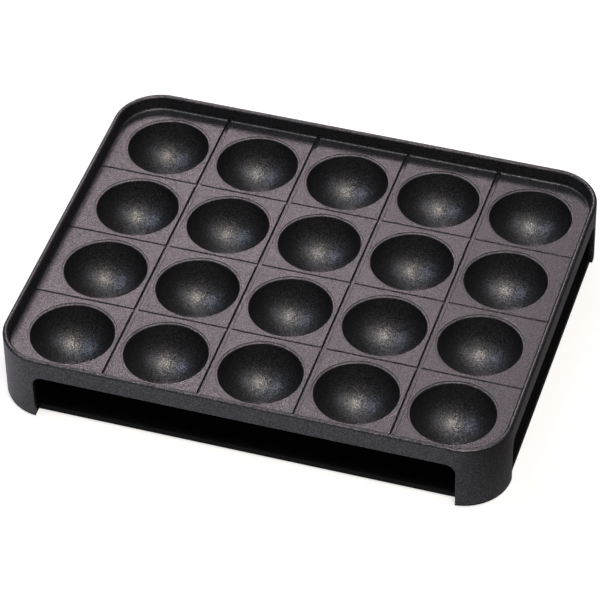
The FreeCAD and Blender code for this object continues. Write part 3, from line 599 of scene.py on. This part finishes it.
@dataclass
class CookingPlate:
    """The casting: wells, grooves, rim, skirt and legs in one closed mesh.

    Sizes are millimetres; half_x and what follows are metres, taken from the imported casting.
    """

    pitch: float = 47.0
    columns: int = 5
    rows: int = 4
    well_radius: float = 20.0
    well_lip: float = 0.75
    lip_round: float = 0.6
    seat_radius: float = 21.45
    seat_depth: float = 0.32
    seat_edge: float = 0.18
    bowl_wall: float = 2.5
    slab: float = 2.5
    rim_height: float = 7.75
    rim_wall: float = 2.75
    rim_foot: float = 1.2
    crest_radius: float = 1.3
    corner_radius: float = 23.5
    skirt_drop: float = 2.85
    leg_span_front: float = 21.3
    leg_span_side: float = 23.5
    opening_radius: float = 5.0
    groove_width: float = 2.1
    groove_depth: float = 1.4
    cross_groove_depth: float = 0.55
    groove_shoulder: float = 0.32
    edge_break: float = 0.45
    softened_from_radians: float = 1.0
    smooth_below_degrees: float = 34.0
    corner_steps: int = 24
    crest_steps: int = 7
    foot_steps: int = 6
    opening_steps: int = 10
    break_steps: int = 3
    lip_steps: int = 5
    well_steps: int = 22
    bowl_steps: int = 13
    well_facets: int = 64
    bowl_facets: int = 48
    bm: bmesh.types.BMesh = field(init=False)
    half_x: float = field(init=False)
    half_y: float = field(init=False)
    base_z: float = field(init=False)
    crest_z: float = field(init=False)
    surface_z: float = field(init=False)
    underside_z: float = field(init=False)
    bowl_z: float = field(init=False)

    def __post_init__(self) -> None:
        """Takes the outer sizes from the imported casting."""
        low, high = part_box("cooking_plate")
        self.half_x = high.x
        self.half_y = high.y
        self.base_z = low.z
        self.crest_z = high.z
        self.surface_z = high.z - self.rim_height * MM
        self.underside_z = self.surface_z - self.slab * MM
        self.bowl_z = self.surface_z - self.well_lip * MM

    def centres(self, count: int) -> list[float]:
        """Spaces points a pitch apart, centred on the plate.

        Args:
            count: How many points.

        Returns:
            Their positions in metres.
        """
        return [(index - (count - 1) / 2) * self.pitch * MM for index in range(count)]

    def build(self) -> bpy.types.Object:
        """Builds the casting.

        Returns:
            The finished piece.
        """
        self.shell()
        self.openings()
        self.soften_openings()
        self.grooves()
        self.wells()
        self.bowls()
        bmesh.ops.remove_doubles(self.bm, verts=self.bm.verts[:], dist=TINY)
        bmesh.ops.dissolve_degenerate(self.bm, dist=TINY, edges=self.bm.edges[:])
        bmesh.ops.recalc_face_normals(self.bm, faces=self.bm.faces[:])
        loose = sum(1 for edge in self.bm.edges if not edge.is_manifold)
        LOG.info("cooking plate: %d faces, %d open edges", len(self.bm.faces), loose)
        piece = mesh_object(self.bm, "cast_cooking_plate")
        shade_by_angle(piece, self.smooth_below_degrees)
        return piece

    def step_in(self, face: bmesh.types.BMFace, inset: float, rise: float) -> None:
        """Draws a face in by an even margin and lifts it.

        Args:
            face: The face.
            inset: Margin in metres.
            rise: Lift in metres; negative sinks it.
        """
        bmesh.ops.inset_region(self.bm, faces=[face], thickness=inset, depth=0.0,
                               use_even_offset=True, use_boundary=True)
        bmesh.ops.translate(self.bm, vec=(0.0, 0.0, rise), verts=face.verts[:])

    def shell(self) -> None:
        """Makes the closed tray: rim, floor, outer wall and the hollow beneath."""
        self.bm = bmesh.new()
        bmesh.ops.create_grid(self.bm, x_segments=1, y_segments=1, size=1.0)
        bmesh.ops.scale(self.bm, vec=(self.half_x, self.half_y, 1.0), verts=self.bm.verts[:])
        crest = self.crest_radius * MM
        bmesh.ops.translate(self.bm, vec=(0.0, 0.0, self.crest_z - crest), verts=self.bm.verts[:])
        bmesh.ops.bevel(self.bm, geom=self.bm.verts[:], offset=self.corner_radius * MM,
                        offset_type="OFFSET", affect="VERTICES", segments=self.corner_steps,
                        profile=0.5, material=-1)
        self.bm.faces.ensure_lookup_table()
        floor = self.bm.faces[0]
        self.quarter_round(floor, crest, self.crest_steps, Round.OUTER_CREST)
        self.step_in(floor, (self.rim_wall - 2 * self.crest_radius) * MM, 0.0)
        self.quarter_round(floor, crest, self.crest_steps, Round.INNER_CREST)
        foot = self.rim_foot * MM
        self.step_in(floor, 0.0, -(self.rim_height * MM - crest - foot))
        self.quarter_round(floor, foot, self.foot_steps, Round.FOOT)
        outline = [edge for edge in self.bm.edges if edge.is_boundary]
        result = bmesh.ops.extrude_edge_only(self.bm, edges=outline)
        lowered = [item for item in result["geom"] if isinstance(item, bmesh.types.BMVert)]
        drop = self.crest_z - crest - self.base_z
        bmesh.ops.translate(self.bm, vec=(0.0, 0.0, -drop), verts=lowered)
        hem = [edge for edge in self.bm.edges if edge.is_boundary]
        under = bmesh.ops.contextual_create(self.bm, geom=hem)["faces"][0]
        bmesh.ops.inset_region(self.bm, faces=[under], thickness=self.rim_wall * MM, depth=0.0,
                               use_even_offset=True, use_boundary=True)
        bmesh.ops.recalc_face_normals(self.bm, faces=self.bm.faces[:])
        result = bmesh.ops.extrude_face_region(self.bm, geom=[under])
        raised = [item for item in result["geom"] if isinstance(item, bmesh.types.BMVert)]
        bmesh.ops.translate(self.bm, vec=(0.0, 0.0, self.underside_z - self.base_z), verts=raised)
        if under.is_valid:
            bmesh.ops.delete(self.bm, geom=[under], context="FACES_ONLY")

    def quarter_round(self, face: bmesh.types.BMFace, radius: float, steps: int,
                      kind: Round) -> None:
        """Runs a face in over a quarter round.

        Args:
            face: The face inside the round.
            radius: Radius in metres.
            steps: Facets in the round.
            kind: Up the crest's outside, down its inside, or out into the floor.
        """
        for index in range(steps):
            before = math.pi / 2 * index / steps
            after = math.pi / 2 * (index + 1) / steps
            by_cosine = radius * (math.cos(before) - math.cos(after))
            by_sine = radius * (math.sin(after) - math.sin(before))
            if kind is Round.OUTER_CREST:
                self.step_in(face, by_cosine, by_sine)
            elif kind is Round.INNER_CREST:
                self.step_in(face, by_sine, -by_cosine)
            else:
                self.step_in(face, by_cosine, -by_sine)

    def opening_cutter(self, half_width: float, length: float, turned: bool) -> bpy.types.Object:
        """Makes the block that opens two opposite sides of the skirt.

        Args:
            half_width: Half the opening's width in metres.
            length: Half the block's length in metres.
            turned: True where the block runs along X.

        Returns:
            The cutting block.
        """
        top = self.surface_z - self.skirt_drop * MM
        bm = bmesh.new()
        bmesh.ops.create_cube(bm, size=2.0)
        bmesh.ops.scale(bm, vec=(half_width, length, top), verts=bm.verts[:])
        shoulders = [edge for edge in bm.edges
                     if all(vert.co.z > 0 for vert in edge.verts)
                     and abs(edge.verts[0].co.y - edge.verts[1].co.y) > length]
        bmesh.ops.bevel(bm, geom=shoulders, offset=self.opening_radius * MM,
                        offset_type="OFFSET", affect="EDGES", segments=self.opening_steps,
                        profile=0.5, material=-1)
        if turned:
            bmesh.ops.rotate(bm, cent=ORIGIN, matrix=Matrix.Rotation(math.pi / 2, 3, "Z"),
                             verts=bm.verts[:])
        return mesh_object(bm, "opening_cutter")

    def openings(self) -> None:
        """Opens the skirt between the legs on all four sides."""
        tray = mesh_object(self.bm, "tray")
        cutters = [
            self.opening_cutter(self.half_x - self.leg_span_front * MM, 2 * self.half_y, False),
            self.opening_cutter(self.half_y - self.leg_span_side * MM, 2 * self.half_x, True),
        ]
        for cutter in cutters:
            modifier = tray.modifiers.new("opening", "BOOLEAN")
            modifier.operation = "DIFFERENCE"
            modifier.solver = "EXACT"
            modifier.object = cutter
        graph = bpy.context.evaluated_depsgraph_get()
        self.bm = bmesh.new()
        self.bm.from_object(tray, graph)
        for helper in [tray] + cutters:
            bpy.data.objects.remove(helper)
        bmesh.ops.remove_doubles(self.bm, verts=self.bm.verts[:], dist=TINY)

    def soften_openings(self) -> None:
        """Breaks the sharp edges of the openings and of each leg's foot."""
        limit = self.surface_z - self.skirt_drop * MM + TINY
        edges = []
        for edge in self.bm.edges:
            if edge.is_manifold and max(vert.co.z for vert in edge.verts) < limit:
                if edge.calc_face_angle(0.0) > self.softened_from_radians:
                    edges.append(edge)
        bmesh.ops.bevel(self.bm, geom=edges, offset=self.edge_break * MM,
                        offset_type="OFFSET", affect="EDGES", segments=self.break_steps,
                        profile=0.5, material=-1, clamp_overlap=False)

    def cut_lines(self, faces: list[bmesh.types.BMFace], normal: Vector, offset: float) -> None:
        """Cuts a set of faces along a plane.

        Args:
            faces: The faces.
            normal: The plane's normal.
            offset: The plane's distance from the origin.
        """
        geom: set[object] = set(faces)
        for face in faces:
            geom.update(face.edges)
            geom.update(face.verts)
        bmesh.ops.bisect_plane(self.bm, geom=list(geom), dist=TINY / 10,
                               plane_co=normal * offset, plane_no=normal)

    def level_faces(self, z_low: float, z_high: float) -> list[bmesh.types.BMFace]:
        """Finds the faces inside the rim that lie wholly between two heights.

        Args:
            z_low: The lower height.
            z_high: The upper height.

        Returns:
            The faces.
        """
        inner_x = self.half_x - self.rim_wall * MM + TINY
        inner_y = self.half_y - self.rim_wall * MM + TINY
        found = []
        for face in self.bm.faces:
            if all(z_low - TINY < vert.co.z < z_high + TINY and abs(vert.co.x) < inner_x
                   and abs(vert.co.y) < inner_y for vert in face.verts):
                found.append(face)
        return found

    def grooves(self) -> None:
        """Cuts the dividing grooves into the floor, right up to the rim's wall."""
        half = self.groove_width * MM / 2
        axes = ((Vector((1.0, 0.0, 0.0)), self.columns), (Vector((0.0, 1.0, 0.0)), self.rows))
        foot = self.surface_z + self.rim_foot * MM
        for normal, count in axes:
            for middle in self.centres(count - 1):
                for side in (-half, half):
                    self.cut_lines(self.level_faces(self.surface_z, foot), normal, middle + side)
        bands = []
        for face in self.level_faces(self.surface_z, foot):
            centre = face.calc_center_median()
            near_x = min(abs(centre.x - middle) for middle in self.centres(self.columns - 1))
            near_y = min(abs(centre.y - middle) for middle in self.centres(self.rows - 1))
            if min(near_x, near_y) < half:
                bands.append(face)
        shoulders = self.shoulder_edges(bands)
        result = bmesh.ops.extrude_face_region(self.bm, geom=bands)
        sunk = [item for item in result["geom"] if isinstance(item, bmesh.types.BMVert)]
        bmesh.ops.delete(self.bm, geom=[face for face in bands if face.is_valid], context="FACES")
        floor = self.surface_z - self.cross_groove_depth * MM
        bmesh.ops.scale(self.bm, vec=(1.0, 1.0, 0.0), verts=sunk,
                        space=Matrix.Translation((0.0, 0.0, -floor)))
        self.deepen(floor, half)
        alive = [edge for edge in shoulders if edge.is_valid]
        bmesh.ops.bevel(self.bm, geom=alive, offset=self.groove_shoulder * MM,
                        offset_type="OFFSET", affect="EDGES", segments=1, profile=0.5,
                        material=-1, clamp_overlap=False)

    def deepen(self, floor: float, half: float) -> None:
        """Sinks the front-to-back grooves below the shallower ones that cross them.

        Args:
            floor: Height of the grooves' floor so far.
            half: Half the width of a groove.
        """
        deeper = []
        for face in self.level_faces(floor, floor):
            middle = face.calc_center_median()
            if min(abs(middle.x - line) for line in self.centres(self.columns - 1)) < half:
                deeper.append(face)
        result = bmesh.ops.extrude_face_region(self.bm, geom=deeper)
        sunk = [item for item in result["geom"] if isinstance(item, bmesh.types.BMVert)]
        bmesh.ops.delete(self.bm, geom=[face for face in deeper if face.is_valid], context="FACES")
        drop = (self.groove_depth - self.cross_groove_depth) * MM
        bmesh.ops.translate(self.bm, vec=(0.0, 0.0, -drop), verts=sunk)

    def shoulder_edges(self, bands: list[bmesh.types.BMFace]) -> list[bmesh.types.BMEdge]:
        """Edges where the groove bands meet the flat lands.

        Args:
            bands: Faces that the grooves sink.

        Returns:
            The bands' border edges that lie on the floor.
        """
        inside = set(bands)
        found = []
        for face in bands:
            for edge in face.edges:
                flat = all(abs(vert.co.z - self.surface_z) < TINY for vert in edge.verts)
                if flat and any(other not in inside for other in edge.link_faces):
                    others = [other for other in edge.link_faces if other not in inside]
                    if all(abs(other.normal.z) > LEVEL_NORMAL for other in others):
                        found.append(edge)
        return found

    def fill_round(self, faces: list[bmesh.types.BMFace], template: bpy.types.Mesh,
                   places: list[Vector], normal: Vector) -> None:
        """Opens flat faces and fills the land between their borders and turned hollows.

        Args:
            faces: The flat faces that the hollows open.
            template: The turned mesh of one hollow, on the Z axis.
            places: Plan position of each hollow.
            normal: Which way the flat faces look.
        """
        border: set[bmesh.types.BMEdge] = set()
        for face in faces:
            border.update(face.edges)
        bmesh.ops.delete(self.bm, geom=faces, context="FACES_ONLY")
        rims: list[bmesh.types.BMEdge] = []
        for place in places:
            verts_before = set(self.bm.verts)
            edges_before = set(self.bm.edges)
            self.bm.from_mesh(template)
            added = [vert for vert in self.bm.verts if vert not in verts_before]
            bmesh.ops.translate(self.bm, vec=place, verts=added)
            rims += [edge for edge in self.bm.edges
                     if edge.is_boundary and edge not in edges_before]
        bmesh.ops.triangle_fill(self.bm, edges=list(border) + rims, use_beauty=True,
                                use_dissolve=False, normal=normal)

    def flat_faces(self, z: float) -> list[bmesh.types.BMFace]:
        """Finds the level faces at a height that are large enough for a well.

        Args:
            z: The height.

        Returns:
            The faces.
        """
        return [face for face in self.bm.faces if abs(abs(face.normal.z) - 1.0) < LEVEL_SLACK
                and all(abs(vert.co.z - z) < TINY for vert in face.verts)
                and face.calc_area() > (self.well_radius * MM) ** 2]

    def wells(self) -> None:
        """Sinks every hemispherical well with its rounded lip and the shallow step round it."""
        radius = self.well_radius * MM
        lip = self.lip_round * MM
        edge = self.seat_edge * MM
        seat_z = self.surface_z - self.seat_depth * MM
        outer = self.seat_radius * MM
        tilt = math.asin((self.bowl_z - seat_z + lip) / (radius + lip))
        reach = (radius + lip) * math.cos(tilt)
        wall = outer - edge
        inward = Vector((0.0, -1.0, 0.0))
        # A half turn in one step about a midpoint draws a straight length of the profile.
        template = turned_mesh("well", Vector((outer, 0.0, self.surface_z)), [
            (Vector((outer, 0.0, self.surface_z - edge)), inward, 90.0, self.break_steps),
            (Vector((wall, 0.0, (self.surface_z - edge + seat_z) / 2)), inward, 180.0, 1),
            (Vector(((wall + reach) / 2, 0.0, seat_z)), inward, 180.0, 1),
            (Vector((reach, 0.0, seat_z - lip)), inward,
             90.0 + math.degrees(tilt), self.lip_steps),
            (Vector((0.0, 0.0, self.bowl_z)), -inward,
             90.0 - math.degrees(tilt), self.well_steps),
        ], self.well_facets)
        for face in self.flat_faces(self.surface_z):
            self.fill_round([face], template, [self.nearest_centre(face)], Vector(UP))

    def nearest_centre(self, face: bmesh.types.BMFace) -> Vector:
        """Finds the well that a face lies round.

        Args:
            face: The face.

        Returns:
            The well's plan position.
        """
        middle = face.calc_center_median()
        x = min(self.centres(self.columns), key=lambda value: abs(value - middle.x))
        y = min(self.centres(self.rows), key=lambda value: abs(value - middle.y))
        return Vector((x, y, 0.0))

    def bowls(self) -> None:
        """Adds the round bowl bottoms under the floor."""
        radius = (self.well_radius + self.bowl_wall) * MM
        rise = self.bowl_z - self.underside_z
        tilt = math.degrees(math.asin(rise / radius))
        ring = radius * math.cos(math.radians(tilt))
        template = turned_mesh("bowl", Vector((ring, 0.0, self.underside_z)), [
            (Vector((0.0, 0.0, self.bowl_z)), Vector((0.0, 1.0, 0.0)),
             90.0 - tilt, self.bowl_steps),
        ], self.bowl_facets)
        places = [Vector((x, y, 0.0)) for y in self.centres(self.rows)
                  for x in self.centres(self.columns)]
        self.fill_round(self.flat_faces(self.underside_z), template, places, -Vector(UP))


@dataclass(frozen=True)
class Softbox:
    """One soft lamp that faces a point."""

    name: str
    place: tuple[float, float, float]
    width: float
    height: float
    watts: float
    colour_hex: str
    aim: tuple[float, float, float] = (0.0, 0.0, 0.03)

    def build(self) -> bpy.types.Object:
        """Adds the lamp to the scene.

        Returns:
            The lamp.
        """
        data = bpy.data.lights.new(self.name, "AREA")
        data.shape = "RECTANGLE"
        data.size = self.width
        data.size_y = self.height
        data.energy = self.watts
        data.color = linear(self.colour_hex)[:3]
        lamp = bpy.data.objects.new(self.name, data)
        heading = Vector(self.aim) - Vector(self.place)
        turn = heading.to_track_quat("-Z", "Y").to_matrix().to_4x4()
        lamp.matrix_world = Matrix.Translation(self.place) @ turn
        bpy.context.scene.collection.objects.link(lamp)
        return lamp


@dataclass(frozen=True)
class Studio:
    """Pale floor, white surroundings, soft lamps and the camera.

    The photographed room is dark at the sides and pale overhead, and the coating shows it, so
    gloss meets a dimmer floor and world than the camera does.
    """

    camera_place: tuple[float, float, float] = (0.39334, -1.20403, 1.20875)
    camera_aim: tuple[float, float, float] = (0.00294, -0.01776, 0.0296)
    camera_roll: float = -1.248
    focal_length_mm: float = 214.87
    sensor_width_mm: float = 36.0
    view_depth: float = 50.0
    floor_reach: float = 6.0
    floor_corners: int = 64
    floor_hex: str = "D2D0CE"
    floor_roughness: float = 0.9
    floor_specular: float = 0.1
    floor_near: float = 0.6
    fade_range: tuple[float, float] = (0.35, 1.0)
    gloss_lift: float = 0.04
    # Painted reflection: the floor's colour as glossy rays see it, pale on the left and dark brown
    # on the right, turning over this X range.
    gloss_left_hex: str = "CDD0D6"
    gloss_right_hex: str = "36302B"
    gloss_turn: tuple[float, float] = (0.09, 0.16)
    surround_hex: str = "EEF3FF"
    surround_light: float = 0.2
    wall_shine: float = 0.1
    ceiling_shine: float = 0.8
    ceiling_range: tuple[float, float] = (0.8, 0.97)
    lamps: tuple[Softbox, ...] = (
        Softbox("key_lamp", (0.44, -0.69, 1.86), width=0.55, height=0.55,
                watts=20.0, colour_hex="FFF4E6"),
        Softbox("back_lamp", (-0.41, 0.96, 1.05), width=0.62, height=0.32,
                watts=6.1, colour_hex="FFECF3"),
        Softbox("left_lamp", (-0.8, -0.42, 1.26), width=0.5, height=0.5,
                watts=4.2, colour_hex="D8E7FF"),
        Softbox("right_lamp", (1.1, -0.28, 1.13), width=0.6, height=0.6,
                watts=2.4, colour_hex="F0F4FF"),
    )

    def build(self) -> None:
        """Builds the stage."""
        self.floor()
        self.surroundings()
        for lamp in self.lamps:
            lamp.build()
        self.camera()
        bpy.context.scene.view_settings.view_transform = "Standard"

    def floor(self) -> None:
        """Lays the pale floor, white to the camera; to glossy rays it shows a painted reflection,
        pale on the left and dark brown to the right.
        """
        bm = bmesh.new()
        bmesh.ops.create_circle(bm, cap_ends=True, segments=self.floor_corners,
                                radius=self.floor_reach)
        bmesh.ops.subdivide_edges(bm, edges=bm.edges[:], cuts=1)
        floor = mesh_object(bm, "studio_floor")
        material, tree = new_material("matt_white_floor")
        rays = add_node(tree, "ShaderNodeLightPath")
        seen = add_node(tree, "ShaderNodeMath", {"operation": "MULTIPLY_ADD"}, {
            0: rays.outputs["Is Glossy Ray"], 1: self.gloss_lift,
            2: rays.outputs["Is Camera Ray"]})
        place = object_place(tree)
        away = add_node(tree, "ShaderNodeVectorMath", {"operation": "LENGTH"}, {0: place})
        # Less lift close by leaves the object's shadow on the floor.
        reach = ramp_between(tree, away.outputs["Value"], *self.fade_range, self.floor_near, 1.0)
        lift = add_node(tree, "ShaderNodeMath", {"operation": "MULTIPLY"}, {
            0: seen.outputs[0], 1: reach})
        across = add_node(tree, "ShaderNodeSeparateXYZ", inputs={"Vector": place})
        # Painted reflection: in gloss the floor turns from pale to dark brown towards the right,
        # standing in for a dark surround there.
        to_right = ramp_between(tree, across.outputs["X"], *self.gloss_turn, 0.0, 1.0)
        painted_reflection_colour = add_mix(tree, to_right, linear(self.gloss_left_hex), linear(self.gloss_right_hex))
        colour = add_mix(tree, rays.outputs["Is Glossy Ray"], linear(self.floor_hex), painted_reflection_colour)
        shader = add_node(tree, "ShaderNodeBsdfPrincipled", inputs={
            "Base Color": colour, "Roughness": self.floor_roughness,
            "Specular IOR Level": self.floor_specular,
            "Emission Color": PURE_WHITE, "Emission Strength": lift.outputs[0]})
        close_material(tree, shader)
        floor.data.materials.append(material)

    def surroundings(self) -> None:
        """Makes the world white to the camera, pale overhead in reflections and else dim."""
        world = bpy.data.worlds.new("white_surroundings")
        world.use_nodes = True
        tree = world.node_tree
        tree.nodes.clear()
        rays = add_node(tree, "ShaderNodeLightPath")
        seen = add_node(tree, "ShaderNodeMath", {"operation": "MAXIMUM"}, {
            0: rays.outputs["Is Camera Ray"], 1: rays.outputs["Is Transmission Ray"]})
        heading = add_node(tree, "ShaderNodeTexCoord").outputs["Generated"]
        height = add_node(tree, "ShaderNodeSeparateXYZ", inputs={"Vector": heading})
        shine = ramp_between(tree, height.outputs["Z"], *self.ceiling_range,
                             self.wall_shine, self.ceiling_shine)
        light = add_node(tree, "ShaderNodeMix", {"data_type": "FLOAT"}, {
            "Factor": rays.outputs["Is Glossy Ray"], "A": self.surround_light, "B": shine})
        strength = add_node(tree, "ShaderNodeMath", {"operation": "MAXIMUM"}, {
            0: light.outputs["Result"], 1: seen.outputs[0]})
        tint = add_mix(tree, seen.outputs[0], linear(self.surround_hex), PURE_WHITE)
        glow = add_node(tree, "ShaderNodeBackground", inputs={
            "Color": tint, "Strength": strength.outputs[0]})
        add_node(tree, "ShaderNodeOutputWorld", inputs={"Surface": glow.outputs[0]})
        bpy.context.scene.world = world

    def camera(self) -> None:
        """Sets the camera at the photograph's viewing angle."""
        data = bpy.data.cameras.new("photograph_camera")
        data.lens = self.focal_length_mm
        data.sensor_width = self.sensor_width_mm
        data.clip_end = self.view_depth
        camera = bpy.data.objects.new("photograph_camera", data)
        heading = Vector(self.camera_aim) - Vector(self.camera_place)
        turn = heading.to_track_quat("-Z", "Y").to_matrix().to_4x4()
        roll = Matrix.Rotation(math.radians(self.camera_roll), 4, "Z")
        camera.matrix_world = Matrix.Translation(self.camera_place) @ turn @ roll
        bpy.context.scene.collection.objects.link(camera)
        bpy.context.scene.camera = camera


@dataclass(frozen=True)
class SensorCoil:
    """Spring under the sensor button, wound from round wire. Sizes are millimetres."""

    wire: float = 0.7
    turns: int = 5
    steps_per_turn: int = 28
    wire_facets: int = 12
    smooth_below_degrees: float = 50.0
    travel: float = 1.5

    def build(self) -> bpy.types.Object:
        """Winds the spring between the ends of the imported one.

        Returns:
            The finished spring.
        """
        low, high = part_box("sensor_spring")
        half = self.wire * MM / 2
        centre = (low + high) / 2
        radius = (high.x - low.x) / 2 - half
        bm = bmesh.new()
        bmesh.ops.create_circle(bm, cap_ends=False, segments=self.wire_facets, radius=half)
        bmesh.ops.rotate(bm, cent=ORIGIN, matrix=Matrix.Rotation(math.pi / 2, 3, "X"),
                         verts=bm.verts[:])
        bmesh.ops.translate(bm, vec=(centre.x + radius, centre.y, low.z + half),
                            verts=bm.verts[:])
        steps = self.turns * self.steps_per_turn
        climb = (high.z - low.z - 2 * half) / steps
        bmesh.ops.spin(bm, geom=bm.verts[:] + bm.edges[:], cent=(centre.x, centre.y, 0.0),
                       axis=UP, dvec=(0.0, 0.0, climb), angle=math.tau * self.turns,
                       steps=steps, use_duplicate=False)
        bmesh.ops.holes_fill(bm, edges=[edge for edge in bm.edges if edge.is_boundary], sides=0)
        bmesh.ops.recalc_face_normals(bm, faces=bm.faces[:])
        coil = mesh_object(bm, "round_wire_coil")
        shade_by_angle(coil, self.smooth_below_degrees)
        return coil

    def follow_button(self, coil: bpy.types.Object) -> None:
        """Gives the spring a mesh of its own.

        Args:
            coil: The finished spring.
        """
        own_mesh(coil)


def dress_nodes(made: dict[str, bpy.types.Material]) -> None:
    """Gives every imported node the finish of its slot.

    Args:
        made: Materials built so far, by slot.
    """
    for subpart in frame["record"]["subparts"]:
        node = frame["nodes"][subpart["node"]]
        material = material_for(subpart["material_slot"], made)
        if node.material_slots:
            for slot in node.material_slots:
                slot.material = material
        else:
            node.data.materials.append(material)
        LOG.info("%s is finished as %s", subpart["node"], material.name)


def main() -> None:
    """Builds the pieces, dresses the nodes and sets the studio."""
    logging.basicConfig(level=logging.INFO, format="%(name)s: %(message)s")
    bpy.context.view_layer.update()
    made: dict[str, bpy.types.Material] = {}
    plate = CookingPlate().build()
    plate.data.materials.append(material_for("nonstick_casting", made))
    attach(plate, "plate")
    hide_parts("cooking_plate")
    spring = SensorCoil()
    coil = spring.build()
    coil.data.materials.append(material_for("spring_steel", made))
    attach(coil, "base")
    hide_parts("sensor_spring")
    spring.follow_button(coil)
    dress_nodes(made)
    Studio().build()


if __name__ == "__main__":
    main()
